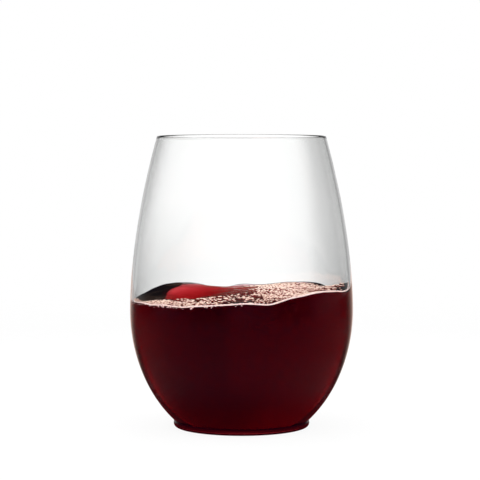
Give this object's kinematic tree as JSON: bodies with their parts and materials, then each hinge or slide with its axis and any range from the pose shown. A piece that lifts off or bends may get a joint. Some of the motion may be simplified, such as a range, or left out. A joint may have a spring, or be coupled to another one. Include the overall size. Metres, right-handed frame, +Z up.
{
  "type": "stemless wine glass",
  "caption": "Stemless wine glass with an egg-shaped bowl on a low foot, part filled with red wine whose rocking surface carries a raft of froth.",
  "frame": {"origin": "middle of the foot's underside, on the table", "axes": "+Z up along the glass's axis, -Y towards the front, +X to the right as seen from the front"},
  "size_m": [0.095, 0.095, 0.124],
  "materials": {
    "glass": "clear, fire-polished soda-lime glass",
    "wine": "clear dark red liquid",
    "froth": "thin wet bubble film, pale pink"
  },
  "bodies": {
    "root": {"glass": "glass", "wine": "wine", "froth": "froth"}
  },
  "joints": []
}
